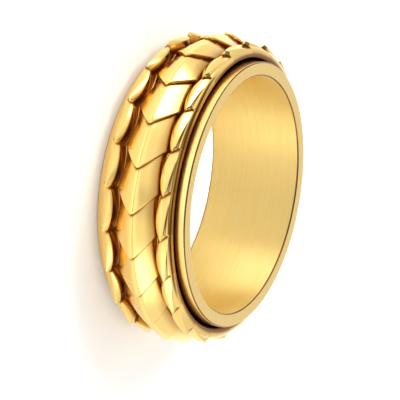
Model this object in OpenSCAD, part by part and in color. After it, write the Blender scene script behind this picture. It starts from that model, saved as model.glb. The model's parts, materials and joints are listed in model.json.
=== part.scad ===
// Spinner ring: a plain inner band and a cast outer ring of overlapping scales that turns on it.
// Millimetres. +Z is the ring's axis, z = 0 is the flat end face that the ring lies on.

/* [Inner band] */
// Diameter of the finger hole
finger_d = 19.8; // [15:0.1:24]
// Width of the whole band, from end face to end face
band_w = 8; // [7:0.1:11]
// Radial thickness of the band under the spinner
waist_wall = 0.85; // [0.6:0.05:1.5]
// How far each rim stands out beyond the waist
rim_step = 0.3; // [0.15:0.05:0.6]
// Length of each rim along the axis
rim_len = 1.52; // [1.2:0.02:2]
// Round on the edges of the finger hole
hole_round = 0.12; // [0.05:0.01:0.3]
// Round on the outer edges of the rims
rim_round = 0.12; // [0.05:0.01:0.2]

/* [Spinner] */
// Distance from an end face of the band to the side face of the spinner
side_inset = 0.8; // [0.5:0.05:1]
// Radial running clearance between the band's waist and the spinner
run_clear = 0.05; // [0.02:0.01:0.1]
// Clearance along the axis at each rim's flank
end_clear = 0.08; // [0.05:0.01:0.15]
// Radial gap that shows around each rim
rim_gap = 0.14; // [0.1:0.02:0.2]
// Round at the mouth of the gap
mouth_round = 0.4; // [0.3:0.05:0.45]
// Metal between the bore and the floor of the grooves
floor_wall = 0.6; // [0.4:0.05:1]

/* [Scales] */
// Number of scales in each of the three rows
scale_n = 21; // [15:1:27]
// Height of the highest scale tips above the groove floor
relief_h = 1.6; // [1:0.1:2.2]
// Thickness of a scale's tip where it lies on the next one
scale_step = 0.3; // [0.15:0.01:0.4]
// How far back the arms of the V run, as a share of the pitch
v_back = 0.5; // [0.4:0.02:0.6]

/* [Hidden] */
gold = [0.93, 0.77, 0.42];
band_gold = [0.95, 0.82, 0.52];

mid_z = band_w / 2;
hole_r = finger_d / 2;
waist_r = hole_r + waist_wall;
rim_r = waist_r + rim_step;
bore_r = waist_r + run_clear;
floor_r = bore_r + floor_wall;
spin_half = mid_z - side_inset;
shoulder_half = mid_z - rim_len - end_clear;
mouth_r = rim_r + rim_gap;
pitch = 360 / scale_n;

// The value a share t of the way from a to c
function mix(a, c, t) = a + (c - a) * t;

// Points of a quarter circle about c, from angle a0 to a1
function arc(c, r, a0, a1, n = 6) = [for (i = [0:n]) c + r * [cos(mix(a0, a1, i / n)), sin(mix(a0, a1, i / n))]];

// The mirror image of a row of points below z = 0, in the other order
function flip(p) = [for (i = [len(p) - 1:-1:0]) [p[i][0], -p[i][1]]];

// The band's section: the upper outer side, the upper edge of the hole, and both again below
function outer_half() = concat(
    [[waist_r, mid_z - rim_len], [rim_r, mid_z - rim_len]],
    arc([rim_r - rim_round, mid_z - rim_round], rim_round, 0, 90));
function hole_half() = arc([hole_r + hole_round, mid_z - hole_round], hole_round, 90, 180);
function band_section() = concat(outer_half(), hole_half(), flip(hole_half()), flip(outer_half()));

module inner_band() color(band_gold)
    translate([0, 0, mid_z])
        rotate_extrude($fn = 180) polygon(band_section());

// The scales are one periodic skin. A column is a share b of the pitch, from the edge of one
// scale (b = 0) to the edge of the next (b = 1), where a steep lip leads down to its root.
// A row lies at a distance w from the middle, and is pushed along the ring by a lead, so that
// the columns follow the V of the scales.
cols = [0, 0.12, 0.36, 0.64, 0.88, 1];
// Share of the pitch that the lip takes
lip = 0.014;

// The middle row's scale: half its width, which grows from the root to the corners, and the
// rise of its keel and of its corners above the groove floor. The root lies one step lower
// than the tip that covers it.
function keel_half(b) = spin_half * (0.4625 + 0.1155 * pow(b, 1.5));
function keel_rise(b) = relief_h - scale_step * (1 - b);
function corner_rise(b) = relief_h * 0.32 - 0.7 * scale_step * (1 - b);
// Rows between keel and corner, as shares of the scale's half width
mid_rows = [0, 0.35, 0.7, 1];

// The groove: a flat floor, with a low wedge that starts behind each corner of the middle row
groove_wall = 0.025 * spin_half;
function wedge_rise(b) = relief_h * 0.22 * max(0, 1 - b / 0.6);

// Inner edge of the side row's scale, which arches towards the groove
function arch_half(b) = spin_half * (0.622 + 0.112 * pow(abs(2 * b - 1), 2.2));
// Crease of the side row's scale, which ends at its tip
function crease_half(b) = spin_half * (0.756 + 0.063 * pow(b, 3));
// The lines of the side row's scale, from the groove to its outer edge:
// [lead as a share of the pitch, rise at its root and rise at its tip as shares of the relief]
arch_line = [0, 0.5, 0.6];
crease_line = [0.02, 0.57, 0.79];
edge_line = [-0.1, 0.36, 0.67];
// Outer edge of the side row's scale, which runs in towards the tip
function edge_half(b) = spin_half * mix(0.935, 0.875, b);

// Outside the scales the side is smooth: it rolls over to the side face as a quarter ellipse
roll_lead = -0.12;
roll_gap = 0.015 * spin_half;
function roll_turn(w) = max(0, min(1, (w / spin_half - 0.85) / 0.15));
function roll_rise(w) = relief_h * (0.06 + 0.44 * sqrt(1 - pow(roll_turn(w), 2)));

// Each row gives [w, lead, radius] at the column b
function mid_row(t, b) =
    [t * keel_half(b), v_back * (1 - pow(t, 1.35)), floor_r + mix(keel_rise(b), corner_rise(b), t)];
function groove_row(t, b) =
    [mix(keel_half(b) + groove_wall, arch_half(b) - groove_wall, t), 0,
     floor_r + (t > 0 && t < 1 ? wedge_rise(b) : 0)];
function side_row(w, line, b) = [w, line[0], floor_r + relief_h * mix(line[1], line[2], b)];
function roll_row(a, b) =
    let (w = mix(edge_half(b) + roll_gap, spin_half, sin(a)))
    [w, roll_lead, floor_r + roll_rise(w)];

// All rows from the middle to the side face, at the column b
function half_section(b) = concat(
    [for (t = mid_rows) mid_row(t, b)],
    [for (t = [0, 0.5, 1]) groove_row(t, b)],
    [side_row(arch_half(b), arch_line, b),
     side_row(crease_half(b), crease_line, b),
     side_row(edge_half(b), edge_line, b)],
    [for (a = [0, 25, 45, 65, 90]) roll_row(a, b)]);

// The whole column, from the lower side face to the upper one
function mirrored(rows) = [for (i = [len(rows) - 1:-1:1]) [-rows[i][0], rows[i][1], rows[i][2]]];
function section(b) = let (rows = half_section(b)) concat(mirrored(rows), rows);

// A skin point [w, lead, radius] of the column b of scale k, turned to its place
function place(p, k, b) =
    let (a = pitch * (k + lip / 2 + b * (1 - lip) + p[1]))
    [p[2] * cos(a), p[2] * sin(a), p[0]];

module scale_drum() {
    col_pts = [for (k = [0:scale_n - 1]) for (b = cols) [for (p = section(b)) place(p, k, b)]];
    m = len(col_pts);
    n = len(col_pts[0]);
    ends = [[0, 0, -spin_half], [0, 0, spin_half]];
    low = m * n;
    // Each quad is cut along the diagonal that follows the V of its own half
    skin = [for (i = [0:m - 1]) for (j = [0:n - 2])
        let (a = i * n + j, b = (i + 1) % m * n + j)
        each (j < (n - 1) / 2 ? [[a, b + 1, b], [a, a + 1, b + 1]] : [[a, a + 1, b], [b, a + 1, b + 1]])];
    caps = [for (i = [0:m - 1])
        let (a = i * n, b = (i + 1) % m * n)
        each [[a, b, low], [b + n - 1, a + n - 1, low + 1]]];
    polyhedron(points = concat([for (c = col_pts) each c], ends), faces = concat(skin, caps), convexity = 12);
}

// What is cut out of the drum for the band: the bore, and a wider pocket with a round mouth
// at each side for the rims. The round crosses the side face at an angle.
mouth_sink = 0.93 * mouth_round;
function pocket_half() = concat(
    [[bore_r, shoulder_half], [mouth_r, shoulder_half]],
    arc([mouth_r + mouth_round, spin_half - mouth_sink], mouth_round, 180, 90),
    [[mouth_r + mouth_round, spin_half + 1], [0, spin_half + 1]]);

module spinner() color(gold)
    translate([0, 0, mid_z])
        difference() {
            scale_drum();
            rotate_extrude($fn = 180) polygon(concat(pocket_half(), flip(pocket_half())));
        }

inner_band();
spinner();
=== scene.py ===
"""Gold spinner ring: the looks of a turned inner band and of the cast, scale-covered spinner.

Both pieces are surfaces of two parameters. One runs round the finger hole, the other along the
piece's section, and both close on themselves, so each piece is one closed grid of quads.
Lengths in this file are millimetres, and the finished meshes are in metres, in the frame of the
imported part: +Z is the axis of the finger hole and z = 0 is the face that the ring lies on.
"""

import json
import logging
import math
from dataclasses import dataclass, field
from enum import Enum
from typing import NamedTuple

import bpy
import numpy as np
from mathutils import Matrix, Vector


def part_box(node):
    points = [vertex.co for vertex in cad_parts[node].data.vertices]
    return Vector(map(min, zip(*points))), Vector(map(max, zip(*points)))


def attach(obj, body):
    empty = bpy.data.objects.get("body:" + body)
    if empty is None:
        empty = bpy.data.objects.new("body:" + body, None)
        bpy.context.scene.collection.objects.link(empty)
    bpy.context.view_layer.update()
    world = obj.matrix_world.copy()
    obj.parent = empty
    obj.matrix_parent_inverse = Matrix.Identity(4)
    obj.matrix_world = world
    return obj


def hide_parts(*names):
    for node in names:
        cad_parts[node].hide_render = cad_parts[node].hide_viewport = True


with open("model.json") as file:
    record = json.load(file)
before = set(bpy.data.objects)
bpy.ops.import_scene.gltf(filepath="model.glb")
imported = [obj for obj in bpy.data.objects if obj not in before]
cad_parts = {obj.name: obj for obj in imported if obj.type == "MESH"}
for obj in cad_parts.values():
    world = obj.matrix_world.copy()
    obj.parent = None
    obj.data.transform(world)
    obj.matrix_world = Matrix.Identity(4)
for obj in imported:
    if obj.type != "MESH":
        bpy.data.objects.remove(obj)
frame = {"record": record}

MM = 0.001
log = logging.getLogger("spinner_ring")
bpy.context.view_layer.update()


class Body(Enum):
    """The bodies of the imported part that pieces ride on."""

    INNER_BAND = "inner_band"
    SPINNER = "spinner"


# Colour and node helpers


def linear(hex_colour: str) -> tuple[float, float, float, float]:
    """Turns an sRGB colour to linear light.

    Below 0.04045 the value is divided by 12.92, and above it is raised to the power 2.4.

    Args:
        hex_colour: Six hex digits after a hash sign.

    Returns:
        Red, green, blue and an alpha of 1.
    """
    digits = hex_colour.lstrip("#")
    srgb = np.array([int(digits[i:i + 2], 16) / 255 for i in (0, 2, 4)])
    light = np.where(srgb <= 0.04045, srgb / 12.92, ((srgb + 0.055) / 1.055) ** 2.4)
    return (*(float(c) for c in light), 1.0)


def add_node(tree: bpy.types.NodeTree, kind: str, settings: dict | None = None,
             links: dict | None = None) -> bpy.types.Node:
    """Adds a node with its settings and links.

    Args:
        tree: The node tree that gets the node.
        kind: The node's type name.
        settings: Values by name. A name that the node has as a property is set there, and any
            other name or number is an input socket.
        links: For each input socket, by name or number, the output socket that feeds it.

    Returns:
        The new node.
    """
    node = tree.nodes.new(kind)
    for key, value in (settings or {}).items():
        if isinstance(key, str) and hasattr(node, key):
            setattr(node, key, value)
        else:
            node.inputs[key].default_value = value
    for key, source in (links or {}).items():
        tree.links.new(source, node.inputs[key])
    return node


def set_ramp(node: bpy.types.Node, stops: list[tuple[float, tuple]]) -> None:
    """Gives a colour ramp its stops.

    Args:
        node: The colour ramp node.
        stops: Place and linear colour of each stop, from 0 to 1.
    """
    elements = node.color_ramp.elements
    while len(elements) < len(stops):
        elements.new(1.0)
    for element, (place, colour) in zip(elements, stops):
        element.position = place
        element.color = colour


# Finishes


@dataclass(frozen=True)
class PolishedGold:
    """Gold plating on steel, polished by hand: crisp reflections with faint wheel marks.

    Shade is painted into the colour, and the surface gets more matt with it: as the painted shade
    attribute grows from 0 to 1, the colour runs from the face colour over a brown to a near black,
    in the grooves, the gap and under the scales' tips.
    """

    name: str = "polished_gold_plating"
    face_hex: str = "#ffd983"
    # The painted shade colours: a brown for half shade and a near black for full shade
    painted_shade_hex: str = "#a06c32"
    painted_deep_shade_hex: str = "#3a1604"
    roughness: float = 0.14
    painted_shade_roughness: float = 0.3
    roughness_spread: float = 0.05
    polish_mark_mm: float = 0.9
    polish_height_mm: float = 0.02
    polish_depth: float = 0.05
    painted_shade_attribute: str = "recess"

    def material(self) -> bpy.types.Material:
        """Builds the node material.

        Returns:
            The finished material.
        """
        mat = bpy.data.materials.new(self.name)
        mat.use_nodes = True
        tree = mat.node_tree
        shader = tree.nodes["Principled BSDF"]
        shader.inputs["Metallic"].default_value = 1.0
        place = add_node(tree, "ShaderNodeTexCoord").outputs["Object"]
        marks = add_node(tree, "ShaderNodeTexNoise",
                         {"Scale": 1 / (self.polish_mark_mm * MM), "Detail": 3.0, "Roughness": 0.6},
                         {"Vector": place})
        # The painted shade attribute picks the colour and the roughness
        recess = add_node(tree, "ShaderNodeAttribute", {"attribute_name": self.painted_shade_attribute})
        colour = add_node(tree, "ShaderNodeValToRGB", {}, {"Fac": recess.outputs["Fac"]})
        set_ramp(colour, [(0.0, linear(self.face_hex)), (0.5, linear(self.painted_shade_hex)),
                          (1.0, linear(self.painted_deep_shade_hex))])
        tree.links.new(colour.outputs["Color"], shader.inputs["Base Color"])
        base_rough = add_node(tree, "ShaderNodeMapRange",
                              {"To Min": self.roughness, "To Max": self.painted_shade_roughness},
                              {"Value": recess.outputs["Fac"]})
        rough = add_node(tree, "ShaderNodeMath", {"operation": "MULTIPLY_ADD", 1: self.roughness_spread},
                         {0: marks.outputs["Fac"], 2: base_rough.outputs["Result"]})
        tree.links.new(rough.outputs[0], shader.inputs["Roughness"])
        bump = add_node(tree, "ShaderNodeBump",
                        {"Strength": self.polish_depth, "Distance": self.polish_height_mm * MM},
                        {"Height": marks.outputs["Fac"]})
        tree.links.new(bump.outputs["Normal"], shader.inputs["Normal"])
        return mat


@dataclass(frozen=True)
class BrushedGold:
    """Gold plating over a turned and brushed bore: fine lines round the hole, silky bands of light.

    The real lines are about 0.02 mm apart, too fine to show, so they are drawn at 0.06 mm. Their
    noise stays near its middle, so colour and roughness change over the stretches given here.
    """

    name: str = "brushed_gold_plating"
    light_hex: str = "#ffeca6"
    dark_hex: str = "#ffe08c"
    roughness: float = 0.5
    roughness_spread: float = 0.06
    anisotropy: float = 0.95
    line_mm: float = 0.06
    line_length_mm: float = 4.0
    line_height_mm: float = 0.01
    line_depth: float = 0.1
    colour_stretch: tuple[float, float] = (0.35, 0.65)
    roughness_stretch: tuple[float, float] = (0.3, 0.7)

    def material(self) -> bpy.types.Material:
        """Builds the node material.

        Returns:
            The finished material.
        """
        mat = bpy.data.materials.new(self.name)
        mat.use_nodes = True
        tree = mat.node_tree
        shader = tree.nodes["Principled BSDF"]
        for name, value in {"Metallic": 1.0, "Anisotropic": self.anisotropy,
                            "Anisotropic Rotation": 0.25}.items():
            shader.inputs[name].default_value = value
        tangent = add_node(tree, "ShaderNodeTangent", {"direction_type": "UV_MAP", "uv_map": "around"})
        tree.links.new(tangent.outputs["Tangent"], shader.inputs["Tangent"])
        along, across = 1 / (self.line_length_mm * MM), 1 / (self.line_mm * MM)
        stretch = add_node(tree, "ShaderNodeMapping",
                           {"vector_type": "POINT", "Scale": (along, along, across)},
                           {"Vector": add_node(tree, "ShaderNodeTexCoord").outputs["Object"]})
        lines = add_node(tree, "ShaderNodeTexNoise", {"Scale": 1.0, "Detail": 4.0, "Roughness": 0.65},
                         {"Vector": stretch.outputs["Vector"]})
        colour = add_node(tree, "ShaderNodeValToRGB", {}, {"Fac": lines.outputs["Fac"]})
        set_ramp(colour, list(zip(self.colour_stretch, (linear(self.dark_hex), linear(self.light_hex)))))
        tree.links.new(colour.outputs["Color"], shader.inputs["Base Color"])
        rough = add_node(tree, "ShaderNodeMapRange",
                         {"From Min": self.roughness_stretch[0], "From Max": self.roughness_stretch[1],
                          "To Min": self.roughness - self.roughness_spread,
                          "To Max": self.roughness + self.roughness_spread},
                         {"Value": lines.outputs["Fac"]})
        tree.links.new(rough.outputs["Result"], shader.inputs["Roughness"])
        bump = add_node(tree, "ShaderNodeBump",
                        {"Strength": self.line_depth, "Distance": self.line_height_mm * MM},
                        {"Height": lines.outputs["Fac"]})
        tree.links.new(bump.outputs["Normal"], shader.inputs["Normal"])
        return mat


# Surfaces


def mix(a: np.ndarray | float, b: np.ndarray | float, t: np.ndarray | float) -> np.ndarray | float:
    """The value a share t of the way from a to b."""
    return a + (b - a) * t


class Corner(NamedTuple):
    """A corner of a section, at every column."""

    points: np.ndarray
    # Place and painted shade for each column.
    """Place and recess for each column."""
    cut: float = 0.0
    """The length that its round takes off each side. Zero keeps it sharp."""
    parts: int = 1
    """How many equal parts the side after it has."""


def rounded_section(corners: list[Corner], round_parts: int = 4, largest_cut: float = 0.45) -> np.ndarray:
    """Rounds the corners of a closed section, for all columns at once.

    A corner is replaced by the curve (1-s)^2 A + 2s(1-s) C + s^2 B, where C is the corner and A
    and B lie on its two sides, a round's length away but never past the largest cut. The
    stretch up to the next corner is divided evenly.

    Args:
        corners: The corners in order.
        round_parts: How many parts each round has.
        largest_cut: The largest share of a side that a round takes.

    Returns:
        Values by row, column and coordinate.
    """
    points = np.array([c.points for c in corners])
    cuts = np.array([c.cut for c in corners])
    ahead = np.roll(points, -1, axis=0)
    length = np.linalg.norm((ahead - points)[..., [0, 2]], axis=-1).min(axis=-1)
    after = np.minimum(largest_cut, cuts / length)
    before = np.minimum(largest_cut, cuts / np.roll(length, 1))
    rows = []
    for i, corner in enumerate(corners):
        start = mix(points[i], points[i - 1], before[i])
        end = mix(points[i], ahead[i], after[i])
        stop = mix(ahead[i], points[i], before[(i + 1) % len(corners)])
        s = np.linspace(0, 1, round_parts + 1 if corner.cut else 1)[:, None, None]
        rows.append((1 - s) ** 2 * start + 2 * s * (1 - s) * points[i] + s ** 2 * end)
        rows.append(mix(end, stop, np.linspace(0, 1, corner.parts + 1)[1:-1, None, None]))
    return np.concatenate(rows)


def surface_normals(points: np.ndarray) -> np.ndarray:
    """Vertex normals of a grid that closes both ways, weighted by area.

    A quad's vector is the cross product of its diagonals, which grows with its area, and a
    vertex takes the sum of its four quads. Flat faces so stay flat up to their rounded edges.

    Args:
        points: Points by column, row and coordinate.

    Returns:
        Unit normals in the same layout.
    """
    right, up = np.roll(points, -1, axis=0), np.roll(points, -1, axis=1)
    corner = np.roll(right, -1, axis=1)
    quads = np.cross(corner - points, up - right)
    total = quads + np.roll(quads, 1, axis=0)
    total = total + np.roll(total, 1, axis=1)
    return total / np.linalg.norm(total, axis=-1, keepdims=True)


def closed_grid(name: str, points: np.ndarray, attributes: dict[str, np.ndarray]) -> bpy.types.Object:
    """Makes a smooth mesh of quads from a grid that closes both ways.

    Args:
        name: The piece's name.
        points: Points in millimetres by column, row and coordinate.
        attributes: Values by column and row, for each attribute's name.

    Returns:
        The object, linked to the scene at the origin.
    """
    columns, rows = points.shape[:2]
    index = np.arange(columns * rows, dtype=np.int32).reshape(columns, rows)
    right, up = np.roll(index, -1, axis=0), np.roll(index, -1, axis=1)
    quads = np.stack([index, right, np.roll(right, -1, axis=1), up], axis=-1).reshape(-1, 4)
    mesh = bpy.data.meshes.new(name)
    mesh.vertices.add(points.size // 3)
    mesh.vertices.foreach_set("co", (points * MM).astype(np.float32).ravel())
    mesh.loops.add(quads.size)
    mesh.loops.foreach_set("vertex_index", quads.ravel())
    mesh.polygons.add(len(quads))
    mesh.polygons.foreach_set("loop_start", np.arange(0, quads.size, 4, dtype=np.int32))
    mesh.update(calc_edges=True)
    mesh.polygons.foreach_set("use_smooth", np.ones(len(quads), bool))
    mesh.normals_split_custom_set_from_vertices(surface_normals(points).reshape(-1, 3).tolist())
    for key, values in attributes.items():
        layer = mesh.attributes.new(key, "FLOAT", "POINT")
        layer.data.foreach_set("value", values.astype(np.float32).ravel())
    mesh.validate()
    piece = bpy.data.objects.new(name, mesh)
    bpy.context.scene.collection.objects.link(piece)
    return piece


def mount_radius(name: str) -> float:
    """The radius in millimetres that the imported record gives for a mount."""
    mounts = {m["name"]: m for m in frame["record"]["mounts"]}
    return mounts[name]["dims"]["r_mm"]


@dataclass
class InnerBand:
    """The plain band that is worn: a waist that the spinner runs on, and a rim at each end.

    Both edges of an end face have a small bevel with a painted dark line along its middle, which
    stands for a dark reflection. The rim's outer side has no painted shade up to the height lit_rim,
    and the full painted shade of the gap from dark_rim on.
    """

    hole_r: float = field(default_factory=lambda: mount_radius("finger_hole"))
    rim_r: float = field(default_factory=lambda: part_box("inner_band")[1].x / MM)
    width: float = field(default_factory=lambda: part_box("inner_band")[1].z / MM)
    waist_wall: float = 0.85
    rim_length: float = 1.52
    hole_chamfer: float = 0.12
    rim_chamfer: float = 0.11
    chamfer_slope: float = 0.9
    edge_round: float = 0.02
    # Painted shade of the dark line in the middle of each bevel, which stands for a dark reflection
    edge_line: float = 0.95
    # Heights on the rim's outer side where the painted shade of the gap starts and where it is full
    lit_rim: float = 0.75
    dark_rim: float = 1.05
    columns: int = 540
    side_parts: int = 2
    bore_parts: int = 24
    round_parts: int = 6
    bore_margin: float = 0.01

    def section(self) -> list[Corner]:
        """The band's section, with the material on the left of the way round it.

        Returns:
            Corners with the values radius, 0, z and painted shade.
        """
        waist_r, soft, painted_dark_line = self.hole_r + self.waist_wall, self.edge_round, self.edge_line
        hole_edge, hole_rise = self.hole_r + self.hole_chamfer, self.chamfer_slope * self.hole_chamfer
        rim_edge, rim_rise = self.rim_r - self.rim_chamfer, self.chamfer_slope * self.rim_chamfer
        # The third value is the painted shade: the dark line in each bevel, and full shade on the rim and
        # waist in the gap
        lower = [
            (self.hole_r, hole_rise, 0, soft),
            (hole_edge - self.hole_chamfer / 2, hole_rise / 2, painted_dark_line, 0),
            (hole_edge, 0, 0, soft),
            (rim_edge, 0, 0, soft),
            (rim_edge + self.rim_chamfer / 2, rim_rise / 2, painted_dark_line, 0),
            (self.rim_r, rim_rise, 0, soft),
            (self.rim_r, self.lit_rim, 0, 0),
            (self.rim_r, self.dark_rim, 1, 0),
            (self.rim_r, self.rim_length, 1, 0),
            (waist_r, self.rim_length, 1, 0),
        ]
        upper = [(r, self.width - z, recess, cut) for r, z, recess, cut in reversed(lower)]
        corners = [Corner(np.array([(r, 0.0, z, recess)]), cut, self.side_parts)
                   for r, z, recess, cut in lower + upper]
        return [*corners[:-1], corners[-1]._replace(parts=self.bore_parts)]

    def build(self) -> bpy.types.Object:
        """Turns the section round the finger hole and dresses it.

        A point (r, z) of the section goes to (r cos a, r sin a, z) for each angle a.

        Returns:
            The finished piece.
        """
        path = rounded_section(self.section(), self.round_parts)[:, 0, :]
        angle = np.linspace(0, math.tau, self.columns, endpoint=False)[:, None]
        shape = (self.columns, len(path))
        points = np.stack([path[:, 0] * np.cos(angle), path[:, 0] * np.sin(angle),
                           np.broadcast_to(path[:, 2], shape)], axis=-1)
        # The painted shade goes to the mesh as an attribute
        piece = closed_grid("plain_inner_band", points, {"recess": np.broadcast_to(path[:, 3], shape)})
        self.unwrap(piece, len(path))
        self.dress(piece, path)
        return piece

    def unwrap(self, piece: bpy.types.Object, rows: int) -> None:
        """Adds the UV map: u runs once round the hole, v once round the section.

        Args:
            piece: The band.
            rows: How many rows its section has.
        """
        layer = piece.data.uv_layers.new(name="around")
        corner = np.array([(0, 0), (1, 0), (1, 1), (0, 1)], float)
        column, row = np.divmod(np.arange(self.columns * rows), rows)
        start = np.stack([column, row], axis=-1)[:, None, :]
        layer.data.foreach_set("uv", ((start + corner) / (self.columns, rows)).astype(np.float32).ravel())

    def dress(self, piece: bpy.types.Object, path: np.ndarray) -> None:
        """Gives the bore its brushed finish and the rest the polished one.

        Args:
            piece: The band.
            path: Its section's points, one for each row.
        """
        rim = PolishedGold(name="polished_gold_rim", face_hex="#ffdb8b", roughness=0.18)
        piece.data.materials.append(rim.material())
        piece.data.materials.append(BrushedGold().material())
        flat = self.hole_r + self.bore_margin
        in_bore = (path[:, 0] < flat) & (np.roll(path[:, 0], -1) < flat)
        piece.data.polygons.foreach_set("material_index", np.tile(in_bore, self.columns).astype(np.int32))
        piece.data.update()


class LeafLine(NamedTuple):
    """A line along the side scale, from its root to its tip."""

    lead: float
    """Its lead as a share of the pitch."""
    root: float
    """Its height at the root, as a share of the relief."""
    tip: float
    """Its height at the tip, as a share of the relief."""
    recess: float
    # Its painted shade away from the root.
    """Its recess away from the root."""
    cut: float
    """The length that its round takes off each side."""
    parts: int
    """How many parts the surface after it has."""


@dataclass(frozen=True)
class ScaleShape:
    """The form of the scales. Widths are shares of the spinner's half width, heights of the relief.

    A gain is what a width grows by, from the scale's root or middle up to its edge.
    """

    # The middle scale: its half width, the height of its corners, and how much of the step they take
    keel_root: float = 0.4625
    keel_gain: float = 0.1155
    corner_rise: float = 0.32
    corner_step: float = 0.7
    # The groove: its steep walls, and the low wedge behind each corner with its length in pitches
    groove_wall: float = 0.025
    wedge_rise: float = 0.22
    wedge_length: float = 0.6
    # The side scale: its arched inner edge, its crease and its outer edge
    arch_middle: float = 0.622
    arch_gain: float = 0.112
    crease_root: float = 0.756
    crease_gain: float = 0.063
    edge_root: float = 0.935
    edge_tip: float = 0.875
    arch_line: LeafLine = LeafLine(0, 0.5, 0.6, 0.1, 0.06, 3)
    crease_line: LeafLine = LeafLine(0.02, 0.57, 0.79, 0, 0.04, 4)
    edge_line: LeafLine = LeafLine(-0.10, 0.36, 0.67, 0, 0.035, 2)
    # The smooth side: where it starts, where it bends and how high it stands
    roll_lead: float = -0.12
    roll_gap: float = 0.015
    roll_start: float = 0.85
    roll_length: float = 0.15
    roll_foot: float = 0.06
    roll_rise: float = 0.44


@dataclass(frozen=True)
class PaintedShades:
    """Painted shade in hollows and under tips, by place: 0 in the open, 1 in the gap."""

    # Painted shade at a scale's root, in the last one's tip's shadow, and over which share of the pitch it
    # fades
    root: float = 0.8
    root_length: float = 0.07
    # The middle scale has no painted shade up to this share of its half width
    facet_start: float = 0.6
    # Painted shade on the groove's floor and on the wedge in it
    floor: float = 0.5
    wedge: float = 0.4
    # Painted shade of the side face, and how late on the roll it sets in
    side_face: float = 0.6
    side_power: int = 12
    # Painted shade in the mouth of the gap, and what each millimetre of depth adds
    mouth: float = 0.65
    mouth_per_mm: float = 2.0


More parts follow.
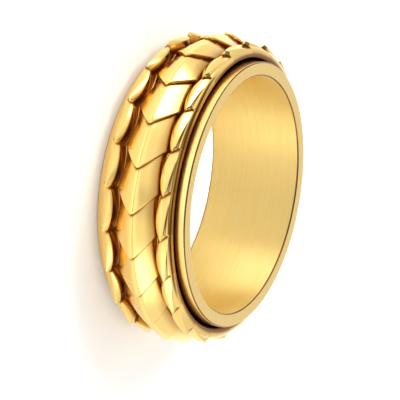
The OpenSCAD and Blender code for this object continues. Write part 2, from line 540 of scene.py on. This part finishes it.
@dataclass
class Spinner:
    """The outer ring: one casting with three rows of overlapping scales and a groove between rows.

    A column is a share b of the pitch, from one scale's edge (0) to the next one's (1). A row
    lies at a distance w from the middle and is pushed along the ring by a lead, so that the
    columns follow the V of the scales.
    """

    half_width: float = field(default_factory=lambda: Spinner.measure()[1])
    mid_z: float = field(default_factory=lambda: Spinner.measure()[0])
    form: ScaleShape = ScaleShape()
    painted_shades: PaintedShades = PaintedShades()
    # The casting, with the sizes of the part's source
    scales: int = 21
    bore_r: float = 10.8
    floor_r: float = 11.4
    mouth_r: float = 11.19
    shoulder: float = 2.4
    # The round mouth of the gap: the arc's centre is mouth_sink radii below the side face, and the
    # arc starts mouth_start radians past its highest point
    mouth_round: float = 0.4
    mouth_sink: float = 0.93
    mouth_start: float = 0.38
    # The scales: height of the keel, drop from one to the next, how far back the V runs, and the
    # steep lip under an edge. The last two are shares of the pitch.
    relief: float = 1.6
    step: float = 0.3
    v_back: float = 0.5
    lip: float = 0.014
    # The fine rounds that only the looks have
    tip_bevel: float = 0.15
    bevel_end: float = 0.98
    keel_round: float = 0.18
    crown: float = 0.03
    corner_round: float = 0.2
    floor_round: float = 0.04
    wedge_round: float = 0.1
    # The columns of a scale and the rows of the section
    root_columns: tuple[float, ...] = (0.0, 0.012, 0.03)
    body_start: float = 0.06
    body_columns: int = 18
    bevel_columns: int = 6
    facet_rows: int = 12
    flat_share: float = 0.8
    roll_rows: int = 9
    mouth_rows: int = 8

    @staticmethod
    def measure() -> tuple[float, float]:
        """The spinner's middle height and its half width in millimetres, from the frame."""
        low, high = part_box("spinner")
        return (low.z + high.z) / 2 / MM, (high.z - low.z) / 2 / MM

    def bevel_share(self) -> float:
        """The share of the pitch that the rounded edge of a scale takes."""
        return self.tip_bevel / (math.tau / self.scales * (self.floor_r + self.relief))

    def shares(self) -> np.ndarray:
        """The columns of one scale: close at its root, even over its body, close on its edge."""
        bevel = self.bevel_share()
        edge = 1 - bevel * np.cos(np.linspace(0, math.pi / 2, self.bevel_columns + 1))[1:]
        body = np.linspace(self.body_start, 1 - bevel, self.body_columns)
        return np.concatenate([self.root_columns, body, edge])

    def edge_drop(self, b: np.ndarray) -> np.ndarray:
        """How far the rounded edge has dropped.

        It is a quarter circle of the bevel's size, which stops just before it gets vertical.

        Args:
            b: Column shares.

        Returns:
            The drop in millimetres for each column.
        """
        s = np.clip((b - 1) / self.bevel_share() + 1, 0, 1)
        return self.tip_bevel * (1 - np.sqrt(1 - s ** 2 * self.bevel_end))

    def row(self, width: np.ndarray | float, lead: np.ndarray | float, radius: np.ndarray | float,
            recess: np.ndarray | float, b: np.ndarray) -> np.ndarray:
        """One row of the skin.

        Args:
            width: Distance from the middle.
            lead: Lead as a share of the pitch.
            radius: Distance from the ring's axis.
            recess: How much painted shade it gets.
            b: Column shares.

        Returns:
            Width, lead, radius and painted shade for each column.
        """
        return np.stack(np.broadcast_arrays(width, lead, radius, recess, b)[:4], axis=-1)

    def root_shade(self, b: np.ndarray) -> np.ndarray:
        """The painted shade at a scale's root, right under the last one's tip, where its shadow falls."""
        return self.painted_shades.root * np.clip(1 - b / self.painted_shades.root_length, 0, 1)

    def keel_half(self, b: np.ndarray) -> np.ndarray:
        """Half the middle scale's width. It grows with b to the power 1.5."""
        return self.half_width * (self.form.keel_root + self.form.keel_gain * b ** 1.5)

    def facet(self, t: float, b: np.ndarray) -> np.ndarray:
        """A row of the middle scale, at a share t of its half width.

        The height falls from keel to corner along a hyperbola, sqrt(t^2 + e^2) - e, which is
        straight but for a round keel, and a crown of 4t(1 - t) is added. The lead falls with t
        to the power 1.35. The painted shade grows evenly with t, from where it starts.

        Args:
            t: Share of the half width.
            b: Column shares.

        Returns:
            Width, lead, radius and painted shade for each column.
        """
        e = self.keel_round
        fall = (math.sqrt(t ** 2 + e ** 2) - e) / (math.sqrt(1 + e ** 2) - e)
        keel = self.relief - self.step * (1 - b)
        corner = self.form.corner_rise * self.relief - self.form.corner_step * self.step * (1 - b)
        rise = mix(keel, corner, fall) + self.crown * 4 * t * (1 - t) - self.edge_drop(b)
        # Painted shade towards the groove, and at the root under the last scale's tip
        recess = np.maximum(max(0.0, t - self.painted_shades.facet_start), self.root_shade(b))
        return self.row(t * self.keel_half(b), self.v_back * (1 - t ** 1.35), self.floor_r + rise, recess, b)

    def groove_corners(self, arch: np.ndarray, b: np.ndarray) -> list[Corner]:
        """The floor of the groove, with the low wedge in its middle.

        Args:
            arch: Inner edge of the side scale, for each column.
            b: Column shares.

        Returns:
            Corners with width, lead, radius and painted shade.
        """
        low, wall = self.floor_r, self.form.groove_wall * self.half_width
        inner = self.keel_half(b) + wall
        wedge = low + self.form.wedge_rise * self.relief * np.clip(1 - b / self.form.wedge_length, 0, None)
        return [
            Corner(self.row(inner, 0, low, self.painted_shades.floor, b), self.floor_round, 2),
            Corner(self.row((inner + arch - wall) / 2, 0, wedge, self.painted_shades.wedge, b), self.wedge_round, 2),
            Corner(self.row(arch - wall, 0, low, self.painted_shades.floor, b), self.floor_round, 2),
        ]

    def leaf_corner(self, width: np.ndarray, line: LeafLine, b: np.ndarray) -> Corner:
        """A corner of the side scale, which rises from its root to its tip.

        Args:
            width: Its distance from the middle, for each column.
            line: Its lead, heights, painted shade and round.
            b: Column shares.

        Returns:
            The corner with width, lead, radius and painted shade.
        """
        rise = self.relief * mix(line.root, line.tip, b) - self.edge_drop(b)
        # Painted shade of the line, and at the root under the last scale's tip
        recess = np.maximum(line.recess, self.root_shade(b))
        return Corner(self.row(width, line.lead, self.floor_r + rise, recess, b), line.cut, line.parts)

    def roll_radius(self, width: np.ndarray) -> np.ndarray:
        """Radius of the smooth side outside the side scales: a quarter of an ellipse."""
        u = np.clip((width / self.half_width - self.form.roll_start) / self.form.roll_length, 0, 1)
        return self.floor_r + self.relief * (self.form.roll_foot + self.form.roll_rise * np.sqrt(1 - u ** 2))

    def roll_corners(self, edge: np.ndarray, b: np.ndarray) -> list[Corner]:
        """The smooth side, from beside the side scale's outer edge to the side face.

        The painted shade grows to that of the side face with a high power of the sine of the turn.

        Args:
            edge: Outer edge of the side scale, for each column.
            b: Column shares.

        Returns:
            Corners with width, lead, radius and painted shade.
        """
        half, form, corners = self.half_width, self.form, []
        for a in np.linspace(0, math.pi / 2, self.roll_rows):
            width = mix(edge + form.roll_gap * half, half, math.sin(a))
            # Painted shade on the side face
            recess = self.painted_shades.side_face * math.sin(a) ** self.painted_shades.side_power
            corners.append(Corner(self.row(width, form.roll_lead, self.roll_radius(width), recess, b)))
        return corners

    def mouth_corners(self, b: np.ndarray) -> list[Corner]:
        """The round mouth of the gap, the shoulder behind it and the edge of the bore.

        Args:
            b: Column shares.

        Returns:
            Corners with width, lead, radius and painted shade.
        """
        lead, corners = self.form.roll_lead, []
        top, sunk = self.mouth_r + self.mouth_round, self.half_width - self.mouth_sink * self.mouth_round
        for a in np.linspace(math.pi / 2 + self.mouth_start, math.pi, self.mouth_rows):
            width, radius = sunk + self.mouth_round * math.sin(a), top + self.mouth_round * math.cos(a)
            # Painted shade that deepens into the gap
            recess = min(1.0, self.painted_shades.mouth + self.painted_shades.mouth_per_mm * (self.half_width - width))
            corners.append(Corner(self.row(width, lead, radius, recess, b)))
        # The shoulder and the bore's edge get full painted shade
        return corners + [Corner(self.row(self.shoulder, lead, r, 1, b)) for r in (self.mouth_r, self.bore_r)]

    def half_corners(self, b: np.ndarray) -> list[Corner]:
        """The corners of the section's upper half, from the middle scale's edge to the bore.

        The side scale's inner edge arches with the power 2.2 of the distance from the scale's
        middle, and its crease swings out with the cube of b.

        Args:
            b: Column shares.

        Returns:
            Corners with width, lead, radius and painted shade.
        """
        form, half = self.form, self.half_width
        arch = half * (form.arch_middle + form.arch_gain * np.abs(2 * b - 1) ** 2.2)
        crease = half * (form.crease_root + form.crease_gain * b ** 3)
        edge = half * mix(form.edge_root, form.edge_tip, b)
        return [
            Corner(self.facet(self.flat_share, b)),
            Corner(self.facet(1.0, b), self.corner_round, 2),
            *self.groove_corners(arch, b),
            self.leaf_corner(arch, form.arch_line, b),
            self.leaf_corner(crease, form.crease_line, b),
            self.leaf_corner(edge, form.edge_line, b),
            *self.roll_corners(edge, b),
            *self.mouth_corners(b),
        ]

    def section(self, b: np.ndarray) -> np.ndarray:
        """All rows of the closed section: the upper half, the bore, and the mirrored lower half.

        Args:
            b: Column shares.

        Returns:
            Width, lead, radius and painted shade by row and column.
        """
        facets = [self.facet(t, b) for t in np.linspace(0, self.flat_share, self.facet_rows)[:-1]]
        rows = np.concatenate([facets, rounded_section(self.half_corners(b))])
        return np.concatenate([rows, rows[:0:-1] * (-1, 1, 1, 1)])

    def build(self) -> bpy.types.Object:
        """Sets the columns of all scales round the ring and dresses the casting.

        The column b of scale k stands at the angle pitch (k + lip/2 + b (1 - lip) + lead).

        Returns:
            The finished piece.
        """
        b = self.shares()
        rows = self.section(b).transpose(1, 0, 2)
        turn = math.tau / self.scales * (np.arange(self.scales)[:, None, None] + self.lip / 2
                                         + b[:, None] * (1 - self.lip) + rows[..., 1])
        width, _, radius, recess = (np.broadcast_to(rows[..., i], turn.shape) for i in range(4))
        points = np.stack([radius * np.cos(turn), radius * np.sin(turn), self.mid_z + width], axis=-1)
        grid = (self.scales * len(b), rows.shape[1])
        piece = closed_grid("scale_spinner", points.reshape(*grid, 3), {"recess": recess.reshape(grid)})
        piece.data.materials.append(PolishedGold().material())
        return piece


# The studio


@dataclass(frozen=True)
class Patch:
    """A soft-edged rectangle of the studio's surroundings, brighter or darker than the rest.

    Its centre and half sizes are in degrees of azimuth, from +X, and of elevation. The tint is
    its colour, as shares of its radiance.
    """

    azimuth: float
    elevation: float
    half_azimuth: float
    half_elevation: float
    radiance: float
    softness: float = 0.25
    tint: tuple[float, float, float] = (1.0, 1.0, 1.0)

    def layer(self, tree: bpy.types.NodeTree, below: bpy.types.NodeSocket, azimuth: bpy.types.NodeSocket,
              elevation: bpy.types.NodeSocket) -> bpy.types.NodeSocket:
        """Lays the patch over the light so far.

        The mask falls smoothly from 1 to 0 about the edge of the rectangle, by the larger of the
        two distances from its centre in half sizes.

        Args:
            tree: The world's node tree.
            below: The light that the patch covers.
            azimuth: The direction's azimuth in radians.
            elevation: Its elevation in radians.

        Returns:
            The light with the patch.
        """
        shares = []
        for source, centre, half in ((azimuth, self.azimuth, self.half_azimuth),
                                     (elevation, self.elevation, self.half_elevation)):
            offset = add_node(tree, "ShaderNodeMath", {"operation": "SUBTRACT", 1: math.radians(centre)},
                              {0: source})
            size = add_node(tree, "ShaderNodeMath", {"operation": "ABSOLUTE"}, {0: offset.outputs[0]})
            share = add_node(tree, "ShaderNodeMath", {"operation": "DIVIDE", 1: math.radians(half)},
                             {0: size.outputs[0]})
            shares.append(share.outputs[0])
        far = add_node(tree, "ShaderNodeMath", {"operation": "MAXIMUM"}, {0: shares[0], 1: shares[1]})
        mask = add_node(tree, "ShaderNodeMapRange",
                        {"interpolation_type": "SMOOTHSTEP", "From Min": 1 + self.softness,
                         "From Max": 1 - self.softness}, {"Value": far.outputs[0]})
        colour = tuple(self.radiance * share for share in self.tint)
        layer = add_node(tree, "ShaderNodeMix", {"data_type": "RGBA", 7: (*colour, 1)},
                         {0: mask.outputs[0], 6: below})
        return layer.outputs[2]


class Softbox(NamedTuple):
    """A rectangular soft light that faces the ring."""

    name: str
    azimuth: float
    """Where it stands, in degrees from +X."""
    elevation: float
    """How high it stands, in degrees."""
    size: tuple[float, float]
    """Its width and height in millimetres."""
    radiance: float
    """How bright it looks in a reflection."""
    reflected: bool = True
    """Whether the metal shows it. A fill light that isn't reflected only lights the floor."""


class Pool(NamedTuple):
    """A round pool of light on the floor."""

    place: tuple[float, float]
    """Its centre in millimetres."""
    radius: float
    """Its radius in millimetres."""
    radiance: float
    """What it adds to a white floor's radiance, if its light falls evenly on the pool."""


# The tint of the dark surroundings, and a half size in degrees that reaches all round
WARM = (1.3, 0.7, 0.4)
ALL_ROUND = 400


@dataclass
class Studio:
    """Pale floor, soft light and the camera at the photograph's angle to the ring.

    The photograph shows the ring upright. Here it lies, so the camera is rolled by the same
    quarter turn, and the light that stood above the upright ring comes from -Y.
    """

    azimuth_deg: float = -5.97
    elevation_deg: float = 25.13
    roll_deg: float = 99.97
    distance_mm: float = 495.1
    lens_mm: float = 540.0
    sensor_mm: float = 36.0
    aim_mm: tuple[float, float, float] = (0.10, 1.05, 4.02)
    view_depth_m: float = 20.0
    floor_mm: float = 6000.0
    floor_hex: str = "#f7f6f4"
    floor_roughness: float = 0.9
    floor_glow: float = 0.18
    patches: tuple[Patch, ...] = (
        # The camera's side: a dimmer patch high up, a bright one towards +Y, a bright band low
        # down, and a dark line along the horizon
        Patch(2, 42, 12, 16, 0.7, 0.4),
        Patch(62, 24, 20, 12, 2.6, 0.5),
        Patch(-6, 14, 48, 12, 1.3, 0.4),
        Patch(-8, -0.5, 48, 5, 0.05, 0.15),
        # Overhead: a dark, warm ring round a lighter middle
        Patch(0, 84, ALL_ROUND, 22, 0.07, 0.5, tint=WARM),
        Patch(0, 90, ALL_ROUND, 13, 0.42, 0.5, tint=(1.1, 0.95, 0.75)),
        # The far side, where the azimuth jumps from 180 to -180, so each patch is laid twice
        Patch(-179, 57, 60, 11, 0.07, tint=WARM),
        Patch(179, 57, 60, 11, 0.07, tint=WARM),
        Patch(-179, 22, 60, 12, 0.82),
        Patch(179, 22, 60, 12, 0.82),
    )
    softboxes: tuple[Softbox, ...] = (
        Softbox("key_light", -82, 20, (250, 106), 3.5),
        Softbox("back_light", 178, 46, (260, 130), 2.8, reflected=False),
        Softbox("floor_light", -100, 48, (110, 110), 6.5, reflected=False),
    )
    light_distance_mm: float = 300.0
    pools: tuple[Pool, ...] = (
        Pool((40, -8), 18, 2.2),
        Pool((-1, 6), 5.0, 1.8),
        Pool((-4.5, -7.5), 4.0, 1.6),
        Pool((-9.5, 0.5), 5.5, 0.8),
    )
    # A pool's lamp: its size and its height in pool radii, and its beam
    lamp_share: float = 0.4
    lamp_height: float = 10
    beam_deg: float = 12

    def camera(self) -> None:
        """Sets up the camera.

        It stands at the given azimuth and elevation from the aim point, and is turned about its
        own line of sight by the roll.
        """
        az, el = math.radians(self.azimuth_deg), math.radians(self.elevation_deg)
        back = Vector((math.cos(el) * math.cos(az), math.cos(el) * math.sin(az), math.sin(el)))
        level = back.to_track_quat("Z", "Y").to_matrix().to_4x4()
        roll = Matrix.Rotation(math.radians(self.roll_deg), 4, "Z")
        data = bpy.data.cameras.new("camera")
        data.lens, data.sensor_width, data.clip_end = self.lens_mm, self.sensor_mm, self.view_depth_m
        cam = bpy.data.objects.new("camera", data)
        place = (Vector(self.aim_mm) + back * self.distance_mm) * MM
        cam.matrix_world = Matrix.Translation(place) @ level @ roll
        bpy.context.scene.collection.objects.link(cam)
        bpy.context.scene.camera = cam

    def floor(self) -> None:
        """Lays the floor at z = 0: the frosted acrylic of a light table, faintly lit from below."""
        half = self.floor_mm / 2 * MM
        mesh = bpy.data.meshes.new("floor")
        mesh.from_pydata([(-half, -half, 0), (half, -half, 0), (half, half, 0), (-half, half, 0)], [],
                         [(0, 1, 2, 3)])
        floor = bpy.data.objects.new("floor", mesh)
        bpy.context.scene.collection.objects.link(floor)
        mat = bpy.data.materials.new("light_table_acrylic")
        mat.use_nodes = True
        shader = mat.node_tree.nodes["Principled BSDF"]
        for name, value in {"Base Color": linear(self.floor_hex), "Roughness": self.floor_roughness,
                            "Emission Color": linear(self.floor_hex),
                            "Emission Strength": self.floor_glow}.items():
            shader.inputs[name].default_value = value
        mesh.materials.append(mat)

    def softbox(self, box: Softbox) -> None:
        """Sets up a soft light.

        Its power is the radiance times its area times pi.

        Args:
            box: Its place, size and brightness.
        """
        az, el = math.radians(box.azimuth), math.radians(box.elevation)
        out = Vector((math.cos(el) * math.cos(az), math.cos(el) * math.sin(az), math.sin(el)))
        data = bpy.data.lights.new(box.name, "AREA")
        data.shape, data.size, data.size_y = "RECTANGLE", box.size[0] * MM, box.size[1] * MM
        data.energy = box.radiance * math.pi * box.size[0] * box.size[1] * MM * MM
        light = bpy.data.objects.new(box.name, data)
        place = Matrix.Translation(out * self.light_distance_mm * MM)
        light.matrix_world = place @ out.to_track_quat("Z", "Y").to_matrix().to_4x4()
        light.visible_camera = False
        light.visible_glossy = box.reflected
        bpy.context.scene.collection.objects.link(light)

    def pool(self, pool: Pool) -> None:
        """Sets up a small disc lamp over the floor, whose narrow beam makes a soft pool of light.

        Its size and its height go with the pool's radius, and its power is the radiance times pi
        times the pool's area. The metal doesn't mirror it.

        Args:
            pool: The pool's place, radius and brightness.
        """
        data = bpy.data.lights.new("pool_light", "AREA")
        data.shape, data.size = "DISK", self.lamp_share * pool.radius * MM
        data.spread = math.radians(self.beam_deg)
        data.energy = pool.radiance * math.pi * math.pi * (pool.radius * MM) ** 2
        lamp = bpy.data.objects.new("pool_light", data)
        lamp.location = (pool.place[0] * MM, pool.place[1] * MM, self.lamp_height * pool.radius * MM)
        lamp.visible_camera = False
        lamp.visible_glossy = False
        bpy.context.scene.collection.objects.link(lamp)

    def world(self) -> None:
        """Surrounds the ring with even white light and lays the patches over it."""
        world = bpy.data.worlds.new("studio")
        bpy.context.scene.world = world
        world.use_nodes = True
        tree = world.node_tree
        place = add_node(tree, "ShaderNodeTexCoord").outputs["Generated"]
        axes = add_node(tree, "ShaderNodeSeparateXYZ", {}, {"Vector": place}).outputs
        azimuth = add_node(tree, "ShaderNodeMath", {"operation": "ARCTAN2"}, {0: axes["Y"], 1: axes["X"]})
        elevation = add_node(tree, "ShaderNodeMath", {"operation": "ARCSINE"}, {0: axes["Z"]})
        light = add_node(tree, "ShaderNodeRGB").outputs[0]
        light.default_value = (1, 1, 1, 1)
        for patch in self.patches:
            light = patch.layer(tree, light, azimuth.outputs[0], elevation.outputs[0])
        tree.links.new(light, tree.nodes["Background"].inputs["Color"])

    def build(self) -> None:
        """Sets up camera, floor, light and the view's colour handling."""
        self.camera()
        self.floor()
        self.world()
        for box in self.softboxes:
            self.softbox(box)
        for pool in self.pools:
            self.pool(pool)
        view = bpy.context.scene.view_settings
        view.view_transform, view.look = "Standard", "None"


def main() -> None:
    """Builds the studio and the two pieces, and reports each."""
    logging.basicConfig(level=logging.INFO, format="%(name)s: %(message)s")
    Studio().build()
    pieces = ((InnerBand(), Body.INNER_BAND, "inner_band"), (Spinner(), Body.SPINNER, "spinner"))
    for maker, body, node in pieces:
        piece = maker.build()
        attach(piece, body.value)
        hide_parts(node)
        log.info("%s: %d quads on body %s", piece.name, len(piece.data.polygons), body.value)


if __name__ == "__main__":
    main()
